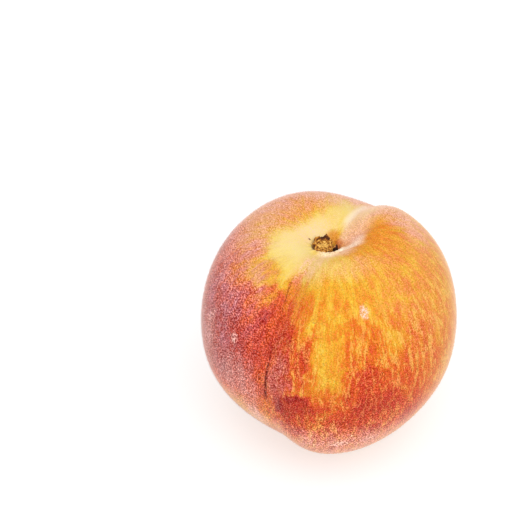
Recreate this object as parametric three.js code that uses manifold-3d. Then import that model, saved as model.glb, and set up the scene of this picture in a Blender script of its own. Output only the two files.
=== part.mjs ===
// A ripe peach, picked, standing on its blossom end with the broken stub of its stalk in the stem cavity.
//
// Frame: millimetres, +Z up the core line from the blossom end to the stem. The origin is on the table under the
// middle of the fruit. The suture, the long groove between the two lobes, runs down the -Y side; -X is the left
// lobe and +X the right, larger one. The peach stands on a small flat ring round the dimple at its blossom end.

import * as THREE from "three";
import { mergeVertices } from "three/addons/utils/BufferGeometryUtils.js";
import Module from "manifold-3d";

// Body of the fruit, half sizes before the grooves and the cavity are pressed in
const HALF_BREADTH = 38; // lobe to lobe
const HALF_DEPTH = 37.5; // suture to back
const HALF_HEIGHT = 37.6; // stem to blossom end
const FULLNESS = 2.17; // exponent of the section: 2 is an ellipse, more is squarer
const TAPER = 0.037; // how much wider the stem half is than the blossom half
const LOBE_GAIN = 0.012; // how much larger the right lobe is than the mean, and the left one smaller
const RIGHT_SHOULDER = 1.1; // how far the right shoulder stands over the left
const UNEVEN = 0.45; // slow waviness round the fruit
const SWELLINGS = [
  { angle: 2.2, turn: 0.35, height: 0.85, spread: 0.4 }, // chin of the right lobe, over the blossom end
  { angle: 2.1, turn: 1.35, height: -1, spread: 0.45 }, // flat low on the right lobe
  { angle: 1.7, turn: -0.9, height: 0.55, spread: 0.4 }, // cheek of the left lobe
  { angle: 0.8, turn: -2.3, height: 0.65, spread: 0.4 }, // left shoulder, towards the back
  { angle: 1.35, turn: 2.1, height: -0.4, spread: 0.35 }, // flat on the right lobe, towards the back
  { angle: 0.98, turn: 2.55, height: 0.35, spread: 0.35 }, // right shoulder, towards the back
];

// Suture and the shorter groove down the back
const SUTURE_SHOULDER = 3.4; // depth where it leaves the cavity
const SUTURE_WAIST = 0.5; // depth at mid height
const SUTURE_HEEL = 2.8; // depth above the blossom end
const BACK_GROOVE = 3.8; // depth behind the cavity
const GROOVE_LEFT = 15; // half width on the left lobe, a gentle slope
const GROOVE_RIGHT = 5; // half width on the right lobe, a steep one

// Stem cavity, with one small fold in its right wall
const CAVITY_DEPTH = 9.6;
const CAVITY_LEFT = 11; // radius where it is e times shallower, on the left
const CAVITY_RIGHT = 8.6; // the same on the right
const FOLD_DEPTH = 0.9;
const FOLD_MIDDLE = 8; // distance of the fold from the core line
const FOLD_LENGTH = 5;
const FOLD_WIDTH = 2.4;

// Blossom end
const DIMPLE_DEPTH = 1.8;
const DIMPLE_RADIUS = 4.2;
const TIP_HEIGHT = 1; // the dried tip of the pistil's base, inside the dimple
const TIP_RADIUS = 1.3;
const FLAT_CUT = 1.2; // how much the flat spot takes off the blossom end
const CORE_OFFSET = [-0.11, -0.09]; // core line from the middle of the fruit, because its lobes are unequal

// Stub of the stalk, and the round seat that it grows in
const STUB_PLACE = [-1, -0.6]; // middle of the seat from the core line
const STUB_FOOT_RADIUS = 3.7;
const STUB_NECK_RADIUS = 2.3;
const STUB_TOP_RADIUS = 2.55;
const STUB_HEIGHT = 6.6; // from the bottom of its root to its broken top
const STUB_ROOT = 2.6; // length that is sunk below the cavity's floor
const STUB_LEAN = [-1.1, -0.6]; // how far the broken top stands off the middle of the seat
const SPLINTER_PLACE = [2.1, 1.2]; // from the middle of the seat
const SPLINTER_RADIUS = 1.1;
const SPLINTER_HEIGHT = 2.9; // above the cavity's floor
const SPLINTER_TILT = 0.25; // away from the stub
const SEAT_GAP = 0.3; // between the root and its seat

// Facets
const SEGMENTS = 96; // round the fruit
const RINGS = 46; // from the stem to the blossom end
const SUTURE_CROWDING = 0.36; // how much closer the segments lie at the suture and the back
const STUB_SEGMENTS = 28;

const wasm = await Module();
wasm.setup();

// A soft hump: 1 at distance 0, falling to 1/e at the given width.
const hump = (distance, width, power = 2) => Math.exp(-(Math.abs(distance / width) ** power));
// A soft step from 0 well below zero to 1 well above it.
const step = (value, width) => 0.5 + 0.5 * Math.tanh(value / width);

// The direction from the middle of the fruit. angle runs from the stem (0) to the blossom end (PI); turn runs
// round from the suture (0) through the right lobe.
function direction(angle, turn) {
  const sine = Math.sin(angle);
  return new THREE.Vector3(sine * Math.sin(turn), -sine * Math.cos(turn), Math.cos(angle));
}

// The point of the skin in that direction, measured from the middle of the fruit.
function skinPoint(angle, turn) {
  const sine = Math.sin(angle);
  const cosine = Math.cos(angle);
  const section = (Math.abs(sine) ** FULLNESS + Math.abs(cosine) ** FULLNESS) ** (-1 / FULLNESS);
  const rightLobe = step(sine * Math.sin(turn), 1 / 3);
  const wave =
    UNEVEN * sine * sine * (Math.sin(2 * turn + 0.9) + 0.6 * Math.sin(3 * turn + 2 - angle));
  const spread = section * sine * (1 + TAPER * cosine);
  const halfBreadth = HALF_BREADTH * (1 + LOBE_GAIN * (2 * rightLobe - 1)) + wave;
  const point = new THREE.Vector3(
    halfBreadth * spread * Math.sin(turn),
    -(HALF_DEPTH + wave) * spread * Math.cos(turn),
    HALF_HEIGHT * section * cosine,
  );

  // The swellings stand out from the middle of the fruit, and the grooves are pressed in towards it.
  const towards = direction(angle, turn);
  const swelling = SWELLINGS.reduce((sum, { height, spread, ...place }) => {
    return sum + height * hump(towards.distanceTo(direction(place.angle, place.turn)), spread);
  }, 0);
  const front = step(-point.y, 4);
  const heel = hump(angle - 2.25, 0.5);
  const suture =
    SUTURE_SHOULDER * hump(angle - 0.62, 0.42) + SUTURE_WAIST * sine * sine + SUTURE_HEEL * heel;
  const back = BACK_GROOVE * hump(angle - 0.55, 0.45);
  const halfWidth = (point.x > 0 ? GROOVE_RIGHT : GROOVE_LEFT) * (1 + 0.5 * heel);
  const groove = (front * suture + (1 - front) * back) * hump(point.x, halfWidth, 1.7);
  point.multiplyScalar(1 + (swelling - groove) / point.length());

  const { x, y } = point;
  const fromCore = Math.hypot(x, y);
  if (cosine > 0) {
    const cavityRadius = THREE.MathUtils.lerp(CAVITY_LEFT, CAVITY_RIGHT, step(x, 5));
    const alongFold = (x + y) * Math.SQRT1_2;
    const acrossFold = (y - x) * Math.SQRT1_2;
    point.z -= CAVITY_DEPTH * hump(fromCore, cavityRadius, 1.7);
    point.z -= FOLD_DEPTH * hump(acrossFold, FOLD_WIDTH) * hump(alongFold - FOLD_MIDDLE, FOLD_LENGTH);
  } else {
    point.z += DIMPLE_DEPTH * hump(fromCore, DIMPLE_RADIUS) - TIP_HEIGHT * hump(fromCore, TIP_RADIUS);
  }
  point.z += RIGHT_SHOULDER * rightLobe * hump(angle - 0.5, 0.35);
  point.z = Math.max(point.z, FLAT_CUT - HALF_HEIGHT);
  return point;
}

// A closed geometry as a manifold-3d solid.
function solidOf(geometry) {
  geometry.deleteAttribute("normal");
  geometry.deleteAttribute("uv");
  const merged = mergeVertices(geometry, 1e-4);
  const vertProperties = new Float32Array(merged.attributes.position.array);
  const triVerts = new Uint32Array(merged.index.array);
  return new wasm.Manifold(new wasm.Mesh({ numProp: 3, vertProperties, triVerts }));
}

// A manifold-3d solid as a flat-shaded geometry.
function geometryOf(solid) {
  const mesh = solid.getMesh();
  const geometry = new THREE.BufferGeometry();
  geometry.setAttribute("position", new THREE.BufferAttribute(mesh.vertProperties, mesh.numProp));
  geometry.setIndex(new THREE.BufferAttribute(mesh.triVerts, 1));
  const facets = geometry.toNonIndexed();
  facets.computeVertexNormals();
  return facets;
}

// Moves each vertex of a unit sphere with its poles on Z to where place(angle, turn) puts it.
function reshapedSphere(segments, rings, place) {
  const sphere = new THREE.SphereGeometry(1, segments, rings).rotateX(Math.PI / 2);
  const position = sphere.attributes.position;
  const vertex = new THREE.Vector3();
  for (let i = 0; i < position.count; i++) {
    vertex.fromBufferAttribute(position, i).normalize();
    const onPole = Math.abs(vertex.z) > 1 - 1e-9;
    const angle = Math.acos(THREE.MathUtils.clamp(vertex.z, -1, 1));
    const turn = onPole ? 0 : Math.atan2(vertex.x, -vertex.y);
    const placed = place(angle, turn);
    position.setXYZ(i, placed.x, placed.y, placed.z);
  }
  return sphere;
}

// Lowest point of the cavity, in the middle of the seat.
const cavityFloor = skinPoint(0, 0).z;

function fruit() {
  const skin = reshapedSphere(SEGMENTS, RINGS, (angle, turn) =>
    skinPoint(angle, turn - SUTURE_CROWDING * Math.sin(2 * turn)),
  );
  const seatDepth = STUB_ROOT + SEAT_GAP;
  const seat = new THREE.CylinderGeometry(
    STUB_FOOT_RADIUS + SEAT_GAP,
    STUB_FOOT_RADIUS + SEAT_GAP,
    seatDepth * 2,
    STUB_SEGMENTS,
  ).rotateX(Math.PI / 2);
  seat.translate(...STUB_PLACE, cavityFloor);
  return solidOf(skin).subtract(solidOf(seat));
}

// The stub: a woody foot that fills the seat, a waisted neck that leans and a wider, broken top, with one splinter
// of the torn collar standing beside it.
function stub() {
  const outline = [
    [0, 0],
    [STUB_FOOT_RADIUS * 0.9, 0],
    [STUB_FOOT_RADIUS, STUB_ROOT * 0.5],
    [STUB_FOOT_RADIUS * 0.97, STUB_ROOT],
    [STUB_NECK_RADIUS * 1.15, STUB_ROOT + 0.5],
    [STUB_NECK_RADIUS, STUB_ROOT + 1.5],
    [STUB_TOP_RADIUS * 0.96, STUB_HEIGHT - 0.9],
    [STUB_TOP_RADIUS, STUB_HEIGHT - 0.3],
    [STUB_TOP_RADIUS * 0.72, STUB_HEIGHT],
    [STUB_TOP_RADIUS * 0.4, STUB_HEIGHT - 0.6],
    [0, STUB_HEIGHT - 0.5],
  ].map(([radius, height]) => new THREE.Vector2(radius, height));
  const lathe = new THREE.LatheGeometry(outline, STUB_SEGMENTS).rotateX(Math.PI / 2);
  const position = lathe.attributes.position;
  for (let i = 0; i < position.count; i++) {
    const x = position.getX(i);
    const y = position.getY(i);
    const height = position.getZ(i);
    const raised = Math.max(0, height - STUB_ROOT) / (STUB_HEIGHT - STUB_ROOT);
    const turn = Math.atan2(y, x);
    const ragged = 1 + 0.12 * raised * Math.cos(4 * turn + 0.6) + 0.05 * raised * Math.cos(7 * turn);
    const torn = Math.hypot(x, y) > 0.1 ? 0.45 * raised * Math.sin(3 * turn + 1) : 0;
    const [leanX, leanY] = STUB_LEAN.map((lean) => lean * raised);
    position.setXYZ(i, x * ragged + leanX, y * ragged + leanY, height + torn);
  }
  const splinter = new THREE.ConeGeometry(SPLINTER_RADIUS, SPLINTER_HEIGHT + 1, 9).rotateX(Math.PI / 2);
  splinter.translate(0, 0, (SPLINTER_HEIGHT - 1) / 2);
  splinter.rotateY(SPLINTER_TILT);
  splinter.translate(...SPLINTER_PLACE, STUB_ROOT);
  return solidOf(lathe).add(solidOf(splinter));
}

function named(name, solid, color, roughness) {
  const material = new THREE.MeshStandardMaterial({ color, roughness, metalness: 0 });
  const mesh = new THREE.Mesh(geometryOf(solid), material);
  mesh.name = name;
  return mesh;
}

const flesh = named("fruit", fruit(), 0xe8893a, 0.75);
const stalk = named("stem_stub", stub(), 0x7a5326, 0.9);
stalk.position.set(...STUB_PLACE, cavityFloor - STUB_ROOT);

const peach = new THREE.Group();
peach.add(flesh, stalk);
peach.position.set(...CORE_OFFSET, HALF_HEIGHT - FLAT_CUT);

export default peach;
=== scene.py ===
# A ripe peach: its skin, the broken stub and splinter of its stalk, and its down, on a plain table.
# Everything is in metres. +Z runs up the core line to the stalk, and the suture faces -Y.

import math

import bpy
import numpy as np
from mathutils import Matrix, Vector


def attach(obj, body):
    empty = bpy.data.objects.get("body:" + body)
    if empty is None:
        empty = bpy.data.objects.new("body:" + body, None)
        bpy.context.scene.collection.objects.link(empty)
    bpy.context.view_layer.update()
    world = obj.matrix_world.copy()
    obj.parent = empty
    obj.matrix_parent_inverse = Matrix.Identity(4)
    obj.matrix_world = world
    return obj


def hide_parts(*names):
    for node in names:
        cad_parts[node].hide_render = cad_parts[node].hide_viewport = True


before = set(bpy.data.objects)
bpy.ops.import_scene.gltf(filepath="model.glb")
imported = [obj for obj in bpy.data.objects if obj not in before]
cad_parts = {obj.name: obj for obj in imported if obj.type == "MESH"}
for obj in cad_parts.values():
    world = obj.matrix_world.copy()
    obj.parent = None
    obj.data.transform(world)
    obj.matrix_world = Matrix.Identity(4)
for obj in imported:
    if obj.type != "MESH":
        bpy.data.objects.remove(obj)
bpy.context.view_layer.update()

# --------------------------------------------------------------------------------------------------
# The skin. A peach is one grown body: two unequal lobes that meet in the suture, a cavity round the
# stalk and a dimple at the blossom end. The skin is thin and grown on the flesh. The sun has blushed its
# left cheek crimson, and left it cream to gold round the stalk and in a band beside the suture.

MM = 0.001
HALF_BREADTH = 38 * MM  # lobe to lobe
HALF_DEPTH = 37.5 * MM  # suture to back
HALF_HEIGHT = 37.6 * MM  # stem to blossom end
FULLNESS = 2.17  # exponent of the section: 2 is an ellipse, more is squarer
TAPER = 0.037  # how much wider the stem half is than the blossom half
LOBE_GAIN = 0.012  # how much larger the right lobe is than the mean, and the left one smaller
RIGHT_SHOULDER = 1.1 * MM  # how far the right shoulder stands over the left
UNEVEN = 0.45 * MM  # slow waviness round the fruit
SWELLINGS = [  # angle from the stem, turn from the suture (both in radians), height, spread
    (2.2, 0.35, 0.85 * MM, 0.4),
    (2.1, 1.35, -1 * MM, 0.45),
    (1.7, -0.9, 0.55 * MM, 0.4),
    (0.8, -2.3, 0.65 * MM, 0.4),
    (1.35, 2.1, -0.4 * MM, 0.35),
    (0.98, 2.55, 0.35 * MM, 0.35),
]
SUTURE_SHOULDER = 3.4 * MM  # depth where it leaves the cavity
SUTURE_WAIST = 0.5 * MM  # depth at mid height
SUTURE_HEEL = 2.8 * MM  # depth above the blossom end
BACK_GROOVE = 3.8 * MM  # depth behind the cavity
GROOVE_LEFT, GROOVE_RIGHT = 15 * MM, 5 * MM  # half widths: a gentle slope and a steep one
CAVITY_DEPTH, CAVITY_LEFT, CAVITY_RIGHT = 9.6 * MM, 11 * MM, 8.6 * MM
FOLD_DEPTH, FOLD_MIDDLE, FOLD_LENGTH, FOLD_WIDTH = 0.9 * MM, 8 * MM, 5 * MM, 2.4 * MM
DIMPLE_DEPTH, DIMPLE_RADIUS = 1.8 * MM, 4.2 * MM
TIP_HEIGHT, TIP_RADIUS = 1 * MM, 1.3 * MM
FLAT_CUT = 1.2 * MM  # how much the flat spot takes off the blossom end
MIDDLE = np.array([-0.11 * MM, -0.09 * MM, HALF_HEIGHT - FLAT_CUT])  # of the fruit

SEAT_PLACE = np.array([-1 * MM, -0.6 * MM])  # middle of the stub's seat from the core line
SEAT_RADIUS, SEAT_DEPTH, SEAT_WALL = 3.95 * MM, 3.2 * MM, 0.2 * MM
LIP_FACING, LIP_HEIGHT = math.radians(-45), 1.3 * MM  # swollen lip of the seat, on its front right
LIP_REACH = 1.3  # how far the lip runs round the seat each way, in radians
PUCKER_DEPTH, PUCKERS = 0.1 * MM, 17  # fine folds that run down into the seat

# The corky line lies in a shallow crack along the suture. It starts on the left and winds a little.
CRACK_DEPTH, CRACK_WIDTH = 0.12 * MM, 0.24 * MM
LINE_WINDING = [(11, 1, 0.12), (27, 0, 0.08)]  # half waves from end to end, phase, reach in mm
LINE_START, LINE_START_SPREAD = 0.5, 0.32  # angle from the stem
LINE_START_LEFT = 2.2  # mm

SKIN_SEGMENTS, SKIN_RINGS = 128, 49  # each face of these is cut in four, twice
SUTURE_CROWDING, POLE_CROWDING = 0.36, 0.16  # how much closer the faces lie there


def hump(distance, width, power=2.0):
    """A soft hump: 1 at distance 0, falling to 1/e at the given width."""
    return np.exp(-np.abs(distance / width) ** power)


def step(value, width):
    """A soft step from 0 well below zero to 1 well above it."""
    return 0.5 + 0.5 * np.tanh(value / width)


def direction(angle, turn):
    """The direction from the fruit's middle, by angle from the stem and turn from suture to right lobe."""
    flat = np.sin(angle)
    return np.stack([flat * np.sin(turn), -flat * np.cos(turn), np.cos(angle) + 0 * turn], axis=-1)


def suture_line(angle):
    """How far the corky line lies to the right of the core plane."""
    winding = sum(reach * np.sin(count * angle + phase) for count, phase, reach in LINE_WINDING)
    return MM * (winding - LINE_START_LEFT * hump(angle - LINE_START, LINE_START_SPREAD))


def skin_place(angle, turn):
    """The point of the skin in that direction."""
    sine, cosine = np.sin(angle), np.cos(angle)
    section = (np.abs(sine) ** FULLNESS + np.abs(cosine) ** FULLNESS) ** (-1 / FULLNESS)
    right_lobe = step(sine * np.sin(turn), 1 / 3)
    wave = UNEVEN * sine**2 * (np.sin(2 * turn + 0.9) + 0.6 * np.sin(3 * turn + 2 - angle))
    spread = section * sine * (1 + TAPER * cosine)
    half_breadth = HALF_BREADTH * (1 + LOBE_GAIN * (2 * right_lobe - 1)) + wave
    x = half_breadth * spread * np.sin(turn)
    y = -(HALF_DEPTH + wave) * spread * np.cos(turn)
    z = HALF_HEIGHT * section * cosine
    towards = direction(angle, turn)
    swelling = sum(
        height * hump(np.linalg.norm(towards - direction(at_angle, at_turn), axis=-1), width)
        for at_angle, at_turn, height, width in SWELLINGS
    )
    front = step(-y, 4 * MM)
    heel = hump(angle - 2.25, 0.5)
    suture = SUTURE_SHOULDER * hump(angle - 0.62, 0.42) + SUTURE_WAIST * sine**2 + SUTURE_HEEL * heel
    back = BACK_GROOVE * hump(angle - 0.55, 0.45)
    half_width = np.where(x > 0, GROOVE_RIGHT, GROOVE_LEFT) * (1 + 0.5 * heel)
    groove = (front * suture + (1 - front) * back) * hump(x, half_width, 1.7)
    corky = hump(angle - 1.38, 0.28, 4) + 0.2 * hump(angle - 0.75, 0.25, 4)
    crack = CRACK_DEPTH * front * corky * hump(x - suture_line(angle), CRACK_WIDTH)
    pressed = 1 + (swelling - groove - crack) / np.sqrt(x**2 + y**2 + z**2)
    x, y, z = x * pressed, y * pressed, z * pressed

    core = np.hypot(x, y)
    cavity = hump(core, CAVITY_LEFT + (CAVITY_RIGHT - CAVITY_LEFT) * step(x, 5 * MM), 1.7)
    along, across = (x + y) * math.sqrt(0.5), (y - x) * math.sqrt(0.5)
    fold = hump(across, FOLD_WIDTH) * hump(along - FOLD_MIDDLE, FOLD_LENGTH)
    seat_x, seat_y = x - SEAT_PLACE[0], y - SEAT_PLACE[1]
    round_seat = np.arctan2(seat_y, seat_x)
    lip = hump(np.angle(np.exp(1j * (round_seat - LIP_FACING))), LIP_REACH, 4)
    seat = np.hypot(seat_x, seat_y) * (1 + 0.18 * lip)
    pucker = hump(seat - 5 * MM, 1.6 * MM) * np.cos(PUCKERS * round_seat + 2 * np.sin(turn))
    top = CAVITY_DEPTH * cavity + FOLD_DEPTH * fold + SEAT_DEPTH * step(SEAT_RADIUS - seat, SEAT_WALL)
    top = top + PUCKER_DEPTH * pucker - LIP_HEIGHT * lip * hump(seat - 4.5 * MM, 1.5 * MM)
    under = DIMPLE_DEPTH * hump(core, DIMPLE_RADIUS) - TIP_HEIGHT * hump(core, TIP_RADIUS)
    z = z + np.where(cosine > 0, -top, under) + RIGHT_SHOULDER * right_lobe * hump(angle - 0.5, 0.35)
    z = np.maximum(z, FLAT_CUT - HALF_HEIGHT)
    return np.stack([x, y, z], axis=-1) + MIDDLE


def vertices_of(mesh):
    """The places of the mesh's vertices, one to a row."""
    flat = np.empty(len(mesh.vertices) * 3)
    mesh.vertices.foreach_get("co", flat)
    return flat.reshape(-1, 3)


bpy.ops.object.select_all(action="DESELECT")
bpy.ops.mesh.primitive_uv_sphere_add(segments=SKIN_SEGMENTS, ring_count=SKIN_RINGS, radius=1)
skin = bpy.context.object
skin.name = "peach_skin"
finer = skin.modifiers.new("finer", "SUBSURF")
finer.subdivision_type = "SIMPLE"
finer.levels = finer.render_levels = 2
bpy.ops.object.modifier_apply(modifier="finer")
unit = vertices_of(skin.data)
unit /= np.linalg.norm(unit, axis=1, keepdims=True)
sphere_angle = np.arccos(np.clip(unit[:, 2], -1, 1))
sphere_turn = np.where(np.abs(unit[:, 2]) > 1 - 1e-9, 0, np.arctan2(unit[:, 0], -unit[:, 1]))
skin_points = skin_place(
    sphere_angle - POLE_CROWDING * np.sin(2 * sphere_angle),
    sphere_turn - SUTURE_CROWDING * np.sin(2 * sphere_turn),
)
skin.data.vertices.foreach_set("co", skin_points.ravel())
skin.data.update()
bpy.ops.object.shade_smooth()


class Wire:
    """A value in a material. Arithmetic on it adds Math nodes to the material's tree."""

    def __init__(self, tree, socket):
        self.tree = tree
        self.socket = socket

    def add(self, kind, values, out=0, stops=None, **settings):
        """A new node of that kind: its settings, then its sockets' values or links, by name or number."""
        node = self.tree.nodes.new(kind)
        for name, setting in settings.items():
            setattr(node, name, setting)
        if stops:
            while len(node.color_ramp.elements) < len(stops):
                node.color_ramp.elements.new(0.5)
            for element, (position, colour) in zip(node.color_ramp.elements, stops):
                element.position, element.color = position, colour
        for key, value in values.items():
            if isinstance(value, Wire):
                self.tree.links.new(value.socket, node.inputs[key])
            else:
                node.inputs[key].default_value = value
        return Wire(self.tree, node.outputs[out])

    def math(self, operation, *others):
        return self.add("ShaderNodeMath", dict(enumerate((self, *others))), operation=operation)

    def __add__(self, other):
        return self.math("ADD", other)

    def __sub__(self, other):
        return self.math("SUBTRACT", other)

    def __rsub__(self, other):
        return self.math("MULTIPLY_ADD", -1.0, other)

    def __mul__(self, other):
        return self.math("MULTIPLY", other)

    __radd__ = __add__
    __rmul__ = __mul__

    def kept(self, low=0.0, high=1.0):
        """This value, kept between two limits."""
        return self.math("MAXIMUM", low).math("MINIMUM", high)

    def rise(self, start, end):
        """0 up to start, 1 from end on, and smooth between; a falling one if end is below start."""
        values = {"Value": self, "From Min": start, "From Max": end}
        return self.add("ShaderNodeMapRange", values, interpolation_type="SMOOTHSTEP")

    def mix(self, without, with_it):
        """The first value where this mask is 0, the second where it is 1."""
        return self.add("ShaderNodeMix", {0: self, 2: without, 3: with_it}, data_type="FLOAT")

    def paint(self, under, over):
        """The first colour where this mask is 0, the second where it is 1."""
        return self.add("ShaderNodeMix", {0: self, 6: under, 7: over}, out=2, data_type="RGBA")

    def ramp(self, stops):
        return self.add("ShaderNodeValToRGB", {"Fac": self}, stops=stops)

    def vector(self, operation, other=(0.0, 0.0, 0.0), out=0):
        return self.add("ShaderNodeVectorMath", {0: self, 1: other}, out=out, operation=operation)

    def noise(self, scale, detail=2.0, roughness=0.5):
        """Grain on this vector, about -0.2 to 0.2."""
        values = {"Vector": self, "Scale": scale, "Detail": detail, "Roughness": roughness}
        return self.add("ShaderNodeTexNoise", values) - 0.5

    def axes(self):
        """The X, Y and Z of this vector."""
        return [self.add("ShaderNodeSeparateXYZ", {0: self}, out=axis) for axis in range(3)]

    def swayed(self, scale, reach, grain_at=None):
        """This vector, pushed about by broad grain (grain that may lie on other coordinates)."""
        values = {"Vector": grain_at or self, "Scale": scale, "Detail": 2.0}
        colours = self.add("ShaderNodeTexNoise", values, out=1)
        pushed = colours.vector("SUBTRACT", (0.5,) * 3).vector("MULTIPLY", (reach,) * 3)
        return pushed.vector("ADD", self)


def ink(red, green, blue):
    """A colour from its parts on a screen, 0 to 255, made linear."""
    shares = [part / 255 for part in (red, green, blue)]
    linear = [share / 12.92 if share < 0.04045 else ((share + 0.055) / 1.055) ** 2.4 for share in shares]
    return (*linear, 1.0)


def new_material(name, **constants):
    """A material with its constants on the shader's own sockets, its shader and its object coordinates."""
    material = bpy.data.materials.new(name)
    material.use_nodes = True
    tree = material.node_tree
    shader = tree.nodes["Principled BSDF"]
    for socket, value in constants.items():
        shader.inputs[socket.replace("_", " ")].default_value = value
    coordinates = Wire(tree, tree.nodes.new("ShaderNodeTexCoord").outputs["Object"])
    return material, shader, coordinates


def feed(shader, socket, wire):
    """Links a value to a socket of the shader."""
    wire.tree.links.new(wire.socket, shader.inputs[socket])


# Brush strokes of the blush, each painted over those before it: angle down from the stem and turn round
# from the suture, in degrees; half sizes along and across, in degrees of arc; ripeness from 0, cream,
# to 1, maroon.
BLUSH = [
    (40, 88, 44, 66, 0.42),  # gold-orange upper half of the right lobe
    (28, 48, 14, 26, 0.28),  # gold in front of the cavity
    (68, 58, 26, 48, 0.60),  # more orange middle of the right lobe
    (98, 48, 34, 50, 0.72),  # its red lower part
    (125, 30, 24, 60, 0.66),  # and the lighter red under it
    (75, -38, 62, 54, 0.89),  # left cheek, turned to the sun
    (86, -110, 40, 40, 0.74),  # blush that runs on round the back of the left lobe
    (92, -152, 46, 30, 0.60),  # and fades there
    (31, -102, 18, 52, 0.50),  # orange mottle on the left shoulder
    (33, -30, 17, 25, 0.42),
    (19, -36, 22, 30, 0.03),  # cream wall of the cavity, on its left
    (13, -112, 14, 26, 0.03),
    (31, -24, 12, 16, 0.10),
    (26, -172, 18, 20, 0.08),  # pale yellow behind the cavity
    (20, 15, 12, 14, 0.20),  # straw where the suture leaves it
    (27, 100, 16, 32, 0.43),  # orange shoulders, right and left
    (27, -105, 9, 42, 0.43),
    (118, -24, 26, 32, 0.40),  # yellow heel of the left lobe
    (55, 28, 32, 11, 0.38),  # golden band beside the suture
    (36, -50, 8, 12, 0.52),  # orange mottle at the edge of the cream
    (36, -28, 7, 10, 0.40),
    (44, -14, 9, 11, 0.77),  # red at the left edge of the suture
    (36, 2, 14, 6, 0.53),  # orange at the top of the suture
    (66, 3, 28, 12, 0.78),  # rose on both sides of it
    (66, 16, 16, 4, 0.74),  # red streak beside the golden band
    (70, 28, 11, 6, 0.36),  # brightest part of the golden band
    (75, 45, 11, 10, 0.74),  # red patch on the right lobe
    (57, 62, 14, 8, 0.44),  # gold patches on the right lobe
    (62, 94, 16, 16, 0.46),
    (33, 140, 12, 18, 0.43),  # rosy crest of the right lobe
    (104, 12, 9, 10, 0.82),  # red patch beside the suture, low down
    (91, 13, 11, 13, 0.87),
    (89, 6, 8, 5, 0.95),  # its dark parts
    (84, 14, 4, 9, 0.92),
    (94, 18, 6, 8, 0.76),
    (76, 7, 16, 6, 0.82),  # red down the right edge of the suture
    (64, -12, 7, 5, 0.74),  # small red and maroon patches on the left cheek
    (66, -30, 8, 6, 0.90),
    (76, -28, 7, 5, 0.88),
    (53, -21, 9, 5, 0.66),
    (53, -11, 4, 4, 0.93),
    (50, -16, 12, 3, 0.62),
    (66, -80, 24, 18, 0.87),  # far side of the left cheek
    (88, 48, 14, 16, 0.82),  # red patches low on the right lobe
    (104, 72, 12, 14, 0.78),
    (44, -12, 10, 4, 0.56),  # orange streaks down from the cream, beside the suture
    (44, -19, 8, 3, 0.52),
]
# The same for the bloom, where the down stands thicker and whitens the skin, with painted sheen on the
# back rims and a painted highlight on the cavity's right wall. The last value is how much.
BLOOM_AND_SHEEN = [
    (75, -52, 66, 48, 0.09),  # frosted left cheek
    (88, -40, 30, 18, 0.15),
    (92, -16, 24, 18, 0.24),
    (80, 5, 22, 8, 0.12),  # along the suture
    (25, 45, 9, 26, 0.13),  # in front of the cavity
    (116, 34, 19, 42, 0.26),  # underside of the right lobe
    (89, 10, 10, 10, 0.0),  # none on the dark red patch
    (110, -9, 14, 8, 0.42),  # bottom of the suture
    (38, -88, 22, 56, 0.28),  # left shoulder
    (43, -42, 10, 26, 0.16),
    (42, -145, 22, 56, 0.38),  # painted sheen on the rim at the back of the left shoulder
    (36, 152, 16, 30, 0.36),  # painted sheen on the rim at the back of the right one
    (14, -112, 10, 24, 0.26),  # whitish mouth of the cavity
    (20, 1, 14, 11, 0.34),  # where the suture starts
    (11, 92, 5, 16, 0.30),  # right wall of the cavity, partly a painted highlight on its fold
    (76, -40, 14, 5, 0.30),  # pale streak down the left cheek
]
PALE_SPOTS = [(45, 48.5, 4, 2.4, 0.7), (113, 34, 3, 6, 0.5), (68, -21.5, 4, 3, 0.5)]  # small pale spots
GROUND_RIPENESS = 0.46  # where no stroke lies
SOFTENED = 1.22  # how much larger a stroke is drawn where its edge is soft
STROKE_DEPTH = 1.4  # towards the fruit's middle, deep enough for the curve of the skin under it
CREAM, STRAW, GOLD = ink(230, 211, 146), ink(224, 195, 92), ink(217, 170, 44)
AMBER, ORANGE, VERMILION = ink(214, 142, 34), ink(209, 106, 23), ink(200, 72, 23)
RED, CRIMSON, MAROON = ink(181, 46, 22), ink(162, 28, 18), ink(136, 12, 12)
BLOOM_AND_SHEEN_PINK, SPECK_WHITE, PURPLE = ink(237, 192, 180), ink(244, 214, 204), ink(176, 84, 112)
# The edge white paints the pale line of the groove's edge and a painted highlight on the fold.
STRAND_GOLD, WALL_PINK, EDGE_AND_HIGHLIGHT_WHITE = ink(236, 188, 100), ink(238, 194, 176), ink(242, 222, 200)
CORK_BROWN = ink(104, 16, 4)
SPOTS = [  # round the stub, colour with painted shade and highlights, in mm from the fruit's middle: place, radius, strength, colour
    ((-1.7, 4.85, 29.0), 2.8, 0.85, ink(206, 132, 44)),  # ochre floor behind it, partly painted shade in the seat
    # painted shade, orange-brown, behind its right side
    ((0.8, 3.3, 28.3), 2.3, 0.7, ink(196, 96, 34)),
    ((3.4, -0.6, 29.6), 2.6, 0.9, ink(246, 230, 204)),  # painted highlight on the floor on its right, where the lip ends
    ((7.5, 2.7, 33.1), 3.4, 0.5, ink(246, 214, 196)),  # painted highlight on the fold's wall over that
    ((1.8, -4.2, 30.2), 4.4, 0.65, ink(246, 228, 200)),  # pale lip in front of it, with a painted highlight along its edge
    ((-6.4, -0.74, 29.96), 0.55, 1.0, ink(110, 60, 30)),  # a brown crumb on its left
]

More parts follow.
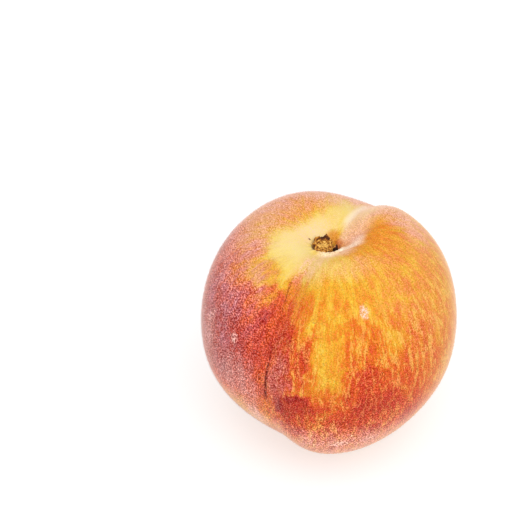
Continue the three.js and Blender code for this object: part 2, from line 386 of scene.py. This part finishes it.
skin_material, skin_shader, at = new_material(
    "peach_skin",
    Specular_IOR_Level=0.06,
    Sheen_Weight=0.85,
    Sheen_Roughness=0.3,
    Sheen_Tint=(1.0, 0.82, 0.72, 1.0),
)
from_middle = at.vector("SUBTRACT", tuple(MIDDLE)).vector("MULTIPLY", (1 / MM,) * 3)
towards = from_middle.vector("NORMALIZE")
right, forth, up = towards.axes()  # forth runs from the suture to the back
angle = up.math("ARCCOSINE")
level = towards.add("ShaderNodeCombineXYZ", {0: right, 1: forth, 2: 0.0}).vector("NORMALIZE")
level_right, level_forth, _ = level.axes()


def lengthways(stretch):
    """Coordinates round the fruit in which grain is that much longer from stem to blossom end."""
    values = {0: level_right, 1: level_forth, 2: angle * (1 / stretch)}
    return towards.add("ShaderNodeCombineXYZ", values)


def stroke(place, angle_at, turn_at, along, across, core=0.25):
    """Mask of one brush stroke on the unit directions place: 1 at its core, 0 at its rim."""
    angle_at, turn_at = math.radians(angle_at), math.radians(turn_at)
    middle = Vector(direction(angle_at, turn_at))
    east = Vector((math.cos(turn_at), math.sin(turn_at), 0))
    facing = Matrix((east, middle.cross(east), middle)).transposed().to_euler()
    size = (math.radians(across), math.radians(along), STROKE_DEPTH)
    values = {"Vector": place, "Location": middle, "Rotation": facing, "Scale": size}
    local = place.add("ShaderNodeMapping", values, vector_type="TEXTURE")
    return local.vector("LENGTH", out=1).rise(1.0, core)


def near(place, spot, radius, core=0.3):
    """Mask round one spot, in mm: 1 in its core, 0 at its rim."""
    return place.vector("DISTANCE", spot, out=1).rise(radius, radius * core)


# Strokes fray lengthways, but those on the left shoulder and round the cavity end softly.
brushed = towards.swayed(5.0, 0.16).swayed(14.0, 0.15, lengthways(3.0))
calm = towards.swayed(6.0, 0.16).swayed(40.0, 0.05)
ripeness = GROUND_RIPENESS
for angle_at, turn_at, along, across, tone in BLUSH:
    if angle_at < 38 and turn_at < -20:
        mask = stroke(calm, angle_at, turn_at, along * SOFTENED, across * SOFTENED, core=0.0)
    else:
        mask = stroke(brushed, angle_at, turn_at, along, across)
    ripeness = mask.mix(ripeness, tone)
bloom_and_sheen = forth.rise(-0.5, -0.15) * right.rise(0.3, 0.6) * angle.rise(1.5, 1.1) * 0.05  # right shoulder
for angle_at, turn_at, along, across, tone in BLOOM_AND_SHEEN:
    bloom_and_sheen = stroke(brushed, angle_at, turn_at, along, across).mix(bloom_and_sheen, tone)
pale_spot_place = towards.swayed(22.0, 0.05)
for angle_at, turn_at, along, across, tone in PALE_SPOTS:
    bloom_and_sheen = stroke(pale_spot_place, angle_at, turn_at, along, across).mix(bloom_and_sheen, tone)

# The grain of the skin, from broad to fine. lively is how strongly the blush is broken up.
streaks = lengthways(4.5).swayed(9.0, 0.06).noise(32.0, detail=5.0, roughness=0.7)
flecks = lengthways(2.4).swayed(20.0, 0.03).noise(75.0, detail=3.0, roughness=0.7)
blotches = lengthways(1.6).swayed(7.0, 0.12).noise(11.0, detail=4.0, roughness=0.6)
fine_lines = lengthways(8.0).swayed(9.0, 0.05).noise(62.0, detail=2.0, roughness=0.55).rise(0.05, 0.16)
strands = lengthways(3.0).swayed(14.0, 0.1).noise(25.0, detail=3.0, roughness=0.65)
grain = from_middle.noise(1.9, detail=2.0, roughness=0.75)
fuzz = from_middle.noise(2.8, detail=0.0)
lively = right.rise(-0.35, 0.1) * angle.rise(0.2, 0.95) * 0.6 + 0.6 * ripeness.rise(0.03, 0.25)
lively = lively * (1.0 - ripeness.rise(0.5, 0.85) * 0.4) * (1.0 - stroke(brushed, 76, 6, 18, 8) * 0.5)
lively = lively * (1.0 - right.rise(0.6, 0.95) * 0.3) * (1.0 - angle.rise(0.7, 1.1) * 0.22)

# downy is how strongly specks of down show: most on the left cheek and low at the front, less on the
# rest of the red and the gold, and hardly on the cream.
downy = right.rise(0.3, -0.2) * ripeness.rise(0.3, 0.8) * (0.4 + 0.6 * angle.rise(0.6, 1.1))
downy = downy.math("MAXIMUM", angle.rise(1.4, 1.8) * forth.rise(0.1, -0.6))
downy = downy.math("MAXIMUM", angle.rise(1.0, 2.4) * 0.5)
downy = downy.math("MAXIMUM", ripeness.rise(0.45, 0.85) * 0.5) * 0.85 + ripeness.rise(0.0, 0.35) * 0.28
texture = streaks * angle.rise(0.3, 1.2) * 0.5 + flecks * 0.5 + blotches * 0.7 - fine_lines * 0.04
texture = texture.kept(-0.2, 0.12)
pale = strands.rise(-0.01, 0.1) * right.rise(-0.1, 0.15) * angle.rise(0.5, 1.1) * ripeness.rise(0.95, 0.6)
pale = pale * (1.0 - stroke(brushed, 66, 29, 26, 9) * 0.8)  # few on the golden band
mixed = ripeness + texture * lively + grain * downy * 0.2 + fuzz * lively * 0.3 - pale * 0.09
colour = mixed.ramp([
    (0.0, CREAM), (0.12, STRAW), (0.25, GOLD), (0.40, AMBER), (0.55, ORANGE),
    (0.68, VERMILION), (0.80, RED), (0.90, CRIMSON), (1.0, MAROON),
])
colour = (pale * 0.32).paint(colour, STRAND_GOLD)
hazed = (bloom_and_sheen * (fuzz * 3.0 + grain * 3.0 + blotches * 3.0 + 1.0)).kept()
purple = stroke(brushed, 62, -40, 44, 28) * (0.2 + blotches * 3.0)
purple = purple + stroke(brushed, 56, -39, 9, 8) * 0.35
colour = purple.kept().paint(colour, PURPLE)
# The bloom colour whitens the skin where down is thick. It also paints sheen on the back rims and a
# highlight on the cavity's right wall.
colour = hazed.paint(colour, BLOOM_AND_SHEEN_PINK)

# Pale down lies thick on the wall between the back groove and the right lobe's shoulder. A pale line runs
# along the back groove's edge, and a painted highlight lies on the fold.
x_mm, y_mm, _ = from_middle.axes()
on_top = up.rise(0.5, 0.7)
wall = on_top * x_mm.rise(-0.6, 1.2) * x_mm.rise(10.5, 5.0) * y_mm.rise(1.0, 5.0)
groove_edge = on_top * x_mm.rise(-2.2, -0.2) * x_mm.rise(2.0, 0.2)
groove_edge = groove_edge * y_mm.rise(6.0, 12.0) * y_mm.rise(29.0, 20.0)
fold_highlight = stroke(towards, 10.5, 95, 8, 4)
colour = (wall * (0.55 + grain)).kept().paint(colour, WALL_PINK)
# painted highlight on the fold, with the pale line along the groove's edge
colour = (groove_edge.math("MAXIMUM", fold_highlight) * 0.7).paint(colour, EDGE_AND_HIGHLIGHT_WHITE)
# The spots round the stub: its colours, painted shade behind it, and painted highlights on the lip and
# fold.
for spot, radius, strength, spot_colour in SPOTS:
    colour = (near(from_middle, spot, radius) * strength).paint(colour, spot_colour)

# Each speck of down lightens or darkens the skin, green and blue a little more than red.
glint = fuzz * downy
lighter = (glint * 4.2).kept(-0.7, 1.1)
lightening = {0: lighter * 0.76 + 1.0, 1: lighter * 1.12 + 1.0, 2: lighter * 1.12 + 1.0}
colour = colour.vector("MULTIPLY", colour.add("ShaderNodeCombineXYZ", lightening))
colour = (glint * 0.45).kept().paint(colour, SPECK_WHITE)

# The corky line along the suture lies where its crack is: dark at mid height, fainter near the cavity.
winding = sum((angle * count + phase).math("SINE") * reach for count, phase, reach in LINE_WINDING)
start_left = ((angle - LINE_START) * (1 / LINE_START_SPREAD)).math("POWER", 2.0)
start_left = (start_left * -1.0).math("EXPONENT") * LINE_START_LEFT
from_line = (x_mm - winding + start_left).math("ABSOLUTE")
front = forth.rise(0.0, -0.2)
corky = angle.rise(1.0, 1.2) * angle.rise(1.62, 1.52)
corky = corky + 0.55 * angle.rise(0.5, 0.6) * angle.rise(1.05, 0.9)
broken = lengthways(2.0).noise(48.0, detail=2.0, roughness=0.6).rise(-0.16, 0.04)
thickness = (from_line + grain * 1.8 - angle.rise(1.2, 1.5) * 0.32).rise(0.32, 0.12)
colour = (front * corky * broken * thickness).paint(colour, CORK_BROWN)

feed(skin_shader, "Base Color", colour)
feed(skin_shader, "Roughness", grain * 0.2 + 0.72)
relief = {"Strength": 0.3, "Distance": 0.1 * MM, "Height": grain + flecks * 0.5}
bump = grain.add("ShaderNodeBump", relief)
feed(skin_shader, "Normal", bump)
skin.data.materials.append(skin_material)
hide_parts("fruit")
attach(skin, "root")

# --------------------------------------------------------------------------------------------------
# The stub of the stalk. Wood, torn off short when the fruit was picked: a foot grown into the seat, a
# leaning neck with ridged sides, and a broken top that is sunk in the middle and highest on its far side.

SEAT_MOUTH = 27.4 * MM  # over the middle of the fruit
STUB_BASE = MIDDLE + np.array([*SEAT_PLACE, SEAT_MOUTH])
STUB_LEAN = np.array([-1.1, -0.6])  # how far the top stands off the middle of the seat, in mm
# Share of the way from the middle of the top to the middle of the foot; radius and height there, in mm.
STUB_OUTLINE = [
    (0.00, 0.0, 2.7), (0.14, 0.9, 2.6), (0.24, 1.6, 2.75), (0.33, 2.25, 3.1), (0.38, 2.6, 3.05),
    (0.42, 2.75, 2.7), (0.58, 2.45, 1.7), (0.68, 2.45, 1.0), (0.78, 2.7, 0.5), (0.84, 3.5, 0.05),
    (0.90, 3.65, -0.9), (0.97, 3.3, -2.4), (1.00, 0.0, -2.4),
]
STUB_RIM = 0.36  # share at which the broken top turns down into the side
STUB_FAR_SIDE = math.radians(92)  # where the slanting torn top stands highest
STUB_SEGMENTS, STUB_RINGS = 128, 72

bpy.ops.object.select_all(action="DESELECT")
bpy.ops.mesh.primitive_uv_sphere_add(segments=STUB_SEGMENTS, ring_count=STUB_RINGS, radius=1)
stub = bpy.context.object
stub.name = "stalk_stub"
unit = vertices_of(stub.data)
unit /= np.linalg.norm(unit, axis=1, keepdims=True)
share = np.arccos(np.clip(unit[:, 2], -1, 1)) / math.pi
round_it = np.arctan2(unit[:, 1], unit[:, 0])
shares, radii, heights = zip(*STUB_OUTLINE)
radius, height = np.interp(share, shares, radii), np.interp(share, shares, heights)
raised = np.clip(height / 3, 0, 1)
torn = np.random.default_rng(5).normal(0, 1, len(unit))
on_top = step(STUB_RIM - share, 0.05)
ridges = 0.05 * np.cos(19 * round_it + 2 * np.sin(2 * round_it))
ridges = ridges + 0.03 * np.cos(31 * round_it + 5 * share)
knobs = 0.1 * np.cos(4 * round_it + 0.6) + 0.07 * np.cos(7 * round_it)
radius *= 1 + raised * knobs + ridges * (1 - on_top)
height += raised**2 * 0.42 * radius * np.cos(round_it - STUB_FAR_SIDE)
teeth = 0.22 * np.sign(np.sin(5 * round_it + 1)) + 0.25 * np.sin(9 * round_it)
teeth = teeth + 0.1 * np.cos(17 * round_it)
height += hump(share - STUB_RIM, 0.1) * teeth
height += 0.09 * torn * on_top * np.clip(share / 0.05, 0, 1)
radius += 0.03 * torn * (1 - on_top) * np.clip((1 - share) / 0.05, 0, 1)
facing_lip = np.angle(np.exp(1j * (round_it - LIP_FACING)))
radius *= 1 - 0.17 * hump(facing_lip, LIP_REACH, 4) * step(share - 0.66, 0.04)  # room for the lip
lean = raised[:, None] * STUB_LEAN
stub_points = np.stack([
    radius * np.cos(round_it) + lean[:, 0], radius * np.sin(round_it) + lean[:, 1], height
], axis=-1) * MM + STUB_BASE
stub.data.vertices.foreach_set("co", stub_points.ravel())
stub.data.update()
bpy.ops.object.shade_smooth()

STRAW_WOOD, OCHRE, BROWN = ink(240, 196, 104), ink(196, 128, 40), ink(122, 66, 18)
DARK_BROWN = ink(48, 18, 10)
STUB_SPOTS = [  # in mm from the middle of the seat's mouth: place, radius, tone from 0, dark, to 1, straw
    ((-2.3, 1.2, 3.3), 1.2, 0.12),  # dark far side of the broken top
    ((-1.6, 1.9, 3.9), 1.5, 0.06),
    ((-0.2, 1.4, 4.2), 1.1, 0.10),
    ((-3.2, 0.4, 2.6), 0.9, 0.15),
    ((-3.2, -2.6, 0.9), 2.2, 0.04),  # dark torn collar at its foot
    ((0.2, -3.6, 0.4), 1.3, 0.12),
    ((2.4, -1.6, 0.6), 1.3, 0.04),
]
stub_material, stub_shader, at = new_material("stalk_wood", Roughness=0.85, Specular_IOR_Level=0.3)
from_base = at.vector("SUBTRACT", tuple(STUB_BASE)).vector("MULTIPLY", (1 / MM,) * 3)
ragged = from_base.swayed(1.0, 1.4)
fibres = from_base.vector("MULTIPLY", (1.0, 1.0, 0.25)).noise(2.2, detail=3.0, roughness=0.65)
crumbs = from_base.noise(2.0, detail=2.0, roughness=0.7)
tone = 0.5 + fibres * 1.3 + crumbs * 1.8
tone = (near(ragged, (-0.8, -0.4, 2.8), 1.8) * 0.6).mix(tone, 0.95 + crumbs * 2.5)  # pale broken pith
for spot, radius, spot_tone in STUB_SPOTS:
    tone = near(ragged, spot, radius).mix(tone, spot_tone)
wood = (tone + crumbs * 0.5).ramp([
    (0.0, DARK_BROWN), (0.3, BROWN), (0.55, OCHRE), (0.85, STRAW_WOOD),
])
feed(stub_shader, "Base Color", wood)
relief = {"Strength": 0.6, "Distance": 0.15 * MM, "Height": crumbs + fibres}
bump = crumbs.add("ShaderNodeBump", relief)
feed(stub_shader, "Normal", bump)
stub.data.materials.append(stub_material)
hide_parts("stem_stub")
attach(stub, "root")

# --------------------------------------------------------------------------------------------------
# The splinter. A pointed scrap of the stalk's torn collar that stands in the seat beside the stub,
# pinkish where it broke and nearly black elsewhere, a black that is partly painted shadow of the gap
# beside the stub. Its sizes are in mm.

SPLINTER_PLACE = np.array([2.1, 1.2])  # from the middle of the seat
SPLINTER_RADIUS, SPLINTER_HEIGHT = 1.05, 3.1
SPLINTER_SINK = 1.2  # length that is sunk below the seat's mouth
SPLINTER_TILT = 0.25  # away from the stub
SPLINTER_BLACK_SHADOW, SPLINTER_BROWN, SPLINTER_PINK = ink(40, 14, 10), ink(132, 74, 44), ink(228, 176, 140)

bpy.ops.object.select_all(action="DESELECT")
bpy.ops.mesh.primitive_uv_sphere_add(segments=40, ring_count=32, radius=1)
splinter = bpy.context.object
splinter.name = "stalk_splinter"
unit = vertices_of(splinter.data)
share = (1 - unit[:, 2]) / 2
round_it = np.arctan2(unit[:, 1], unit[:, 0])
torn = np.random.default_rng(9).normal(0, 0.03, len(unit))
radius = SPLINTER_RADIUS * np.minimum(1.15 * share**0.7, 1) * np.clip((1 - share) / 0.04, 0, 1)
radius *= 1 + 0.18 * np.cos(3 * round_it + 1) + 0.08 * np.cos(8 * round_it) + torn
height = SPLINTER_HEIGHT - (SPLINTER_HEIGHT + SPLINTER_SINK) * share + torn
splinter_points = np.stack([
    radius * np.cos(round_it) + SPLINTER_PLACE[0] + SPLINTER_TILT * height,
    0.8 * radius * np.sin(round_it) + SPLINTER_PLACE[1],
    height,
], axis=-1) * MM + STUB_BASE
splinter.data.vertices.foreach_set("co", splinter_points.ravel())
splinter.data.update()
bpy.ops.object.shade_smooth()

splinter_material, splinter_shader, at = new_material(
    "stalk_splinter", Roughness=0.85, Specular_IOR_Level=0.3
)
from_base = at.vector("SUBTRACT", tuple(STUB_BASE)).vector("MULTIPLY", (1 / MM,) * 3)
crumbs = from_base.noise(2.0, detail=2.0, roughness=0.7)
tone = near(from_base, (1.9, 0.5, 2.6), 1.3) + crumbs * 1.5
# the near-black here is partly painted shadow of the gap beside the stub
scrap = tone.ramp([(0.1, SPLINTER_BLACK_SHADOW), (0.45, SPLINTER_BROWN), (0.8, SPLINTER_PINK)])
feed(splinter_shader, "Base Color", scrap)
splinter.data.materials.append(splinter_material)
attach(splinter, "root")

# --------------------------------------------------------------------------------------------------
# The down. Short, stiff, pale hairs that grow out of the skin, each a slim spike rooted a little way
# under it. They stand everywhere but in the stub's seat and where the fruit rests on the table.

HAIRS, HAIR_PIECES = 49900, 3  # hairs in each piece
HAIR_LENGTH, HAIR_RADIUS = 0.4 * MM, 0.013 * MM
HAIR_OUT = 0.42  # share of its length that its middle stands off the skin
CLEAR_OF_TABLE, CLEAR_OF_SEAT = 0.6 * MM, 0.3 * MM
RUFFLE = 0.5  # how much the hairs lean, every way
ROSE_LIT_HAIR, STRAW_LIT_HAIR = ink(246, 212, 206), ink(246, 206, 150)  # on the left and on the right lobe: tints that are painted light, the skin's colour shining through the hairs

bpy.ops.object.select_all(action="DESELECT")
bpy.ops.mesh.primitive_cone_add(vertices=3, radius1=HAIR_RADIUS, radius2=0, depth=HAIR_LENGTH)
one_hair = bpy.context.object
one_hair.location.z = HAIR_LENGTH * HAIR_OUT
bpy.ops.object.transform_apply(location=True, rotation=False, scale=False)
hair_points = vertices_of(one_hair.data)
hair_faces = np.array([tuple(face.vertices) for face in one_hair.data.polygons])
bpy.data.objects.remove(one_hair)

hair_material, hair_shader, at = new_material("peach_down", Roughness=0.6, Specular_IOR_Level=0.3)
# Painted light: the hairs take a rose tint over the left lobe and a straw one over the right, for the
# skin's colour shining through them.
on_the_right = at.axes()[0].rise(-8 * MM, 12 * MM)
feed(hair_shader, "Base Color", on_the_right.paint(ROSE_LIT_HAIR, STRAW_LIT_HAIR))
chance = np.random.default_rng(11)


def hairs_over(count):
    """Vertices of so many hairs, scattered evenly over the skin and standing off it."""
    roots = np.empty((0, 3))
    outwards = np.empty((0, 3))
    while len(roots) < count:
        angle = np.arccos(chance.uniform(-1, 1, count))
        turn = chance.uniform(-math.pi, math.pi, count)
        place = skin_place(angle, turn)
        step_down = skin_place(angle + 0.004, turn) - place
        step_round = skin_place(angle, turn + 0.004) - place
        out = np.cross(step_down, step_round)
        out /= np.linalg.norm(out, axis=1, keepdims=True)
        in_seat = np.hypot(*(place[:, :2] - MIDDLE[:2] - SEAT_PLACE).T) < SEAT_RADIUS + CLEAR_OF_SEAT
        free = (place[:, 2] > CLEAR_OF_TABLE) & ~(in_seat & (place[:, 2] > MIDDLE[2]))
        roots = np.concatenate([roots, place[free]])
        outwards = np.concatenate([outwards, out[free]])
    roots, outwards = roots[:count], outwards[:count]
    stand = outwards + chance.normal(0, RUFFLE, (count, 3))
    stand /= np.linalg.norm(stand, axis=1, keepdims=True)
    sideways = np.cross(stand, chance.normal(0, 1, (count, 3)))
    sideways /= np.linalg.norm(sideways, axis=1, keepdims=True)
    frames = np.stack([sideways, np.cross(stand, sideways), stand], axis=1)
    shorter_on_the_right = 1.15 - 0.35 * step(roots[:, 0], 12 * MM)
    lengths = chance.uniform(0.6, 1.3, (count, 1, 1)) * shorter_on_the_right[:, None, None]
    return roots[:, None] + (hair_points * lengths) @ frames


for number in range(HAIR_PIECES):
    placed = hairs_over(HAIRS).reshape(-1, 3)
    faces = (hair_faces[None] + np.arange(HAIRS)[:, None, None] * len(hair_points)).reshape(-1)
    mesh = bpy.data.meshes.new(f"down_{number + 1}")
    mesh.vertices.add(len(placed))
    mesh.vertices.foreach_set("co", placed.ravel())
    mesh.loops.add(len(faces))
    mesh.loops.foreach_set("vertex_index", faces)
    mesh.polygons.add(len(faces) // 3)
    mesh.polygons.foreach_set("loop_start", np.arange(0, len(faces), 3))
    mesh.update(calc_edges=True)
    down = bpy.data.objects.new(f"down_{number + 1}", mesh)
    bpy.context.collection.objects.link(down)
    down.data.materials.append(hair_material)
    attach(down, "root")

# --------------------------------------------------------------------------------------------------
# The table, the light and the camera. A matt white table top under an even white sky, with one broad
# soft lamp high over the front right, and a camera that looks down on the fruit from the same side.

bpy.ops.object.select_all(action="DESELECT")
bpy.ops.mesh.primitive_plane_add(size=4)
table = bpy.context.object
table.name = "table"
table_material, table_shader, at = new_material(
    "table_white", Base_Color=ink(176, 176, 176), Roughness=0.9, Emission_Strength=0.6
)
table_shader.inputs["Emission Color"].default_value = (1, 1, 1, 1)
table.data.materials.append(table_material)

world = bpy.data.worlds.new("studio")
bpy.context.scene.world = world
world.use_nodes = True
sky = world.node_tree.nodes["Background"]
sky.inputs["Color"].default_value = (1, 1, 1, 1)
sky.inputs["Strength"].default_value = 0.82


def softbox(name, place, size, watts):
    """A square soft lamp that faces the middle of the fruit."""
    bpy.ops.object.light_add(type="AREA", location=place)
    light = bpy.context.object
    light.name = name
    light.data.size = size
    light.data.energy = watts
    light.rotation_euler = (Vector(place) - Vector((0, 0, 36 * MM))).to_track_quat("Z", "Y").to_euler()


softbox("key", (0.3, -0.3, 0.75), 0.7, 4.4)

AZIMUTH, ELEVATION, DISTANCE = math.radians(30), math.radians(41), 0.7
PIXELS, PIXELS_PER_METRE = 510, 3386  # of the render, and at the fruit's middle
MIDDLE_SEEN = (328.2, 321.8)  # where the fruit's middle lies in the render, in pixels
SENSOR = 36  # mm
back = Vector(direction(math.pi / 2 - ELEVATION, AZIMUTH))
sideways = Vector((math.cos(AZIMUTH), math.sin(AZIMUTH), 0))
upwards = back.cross(sideways)
offset = [(seen - PIXELS / 2) / PIXELS_PER_METRE for seen in MIDDLE_SEEN]
aim = Vector(MIDDLE) - sideways * offset[0] + upwards * offset[1]
facing = back.to_track_quat("Z", "Y").to_euler()
bpy.ops.object.camera_add(location=aim + back * DISTANCE, rotation=facing)
camera = bpy.context.object
camera.data.sensor_width = SENSOR
camera.data.lens = SENSOR * DISTANCE * PIXELS_PER_METRE / PIXELS
bpy.context.scene.camera = camera
bpy.context.scene.view_settings.view_transform = "Standard"
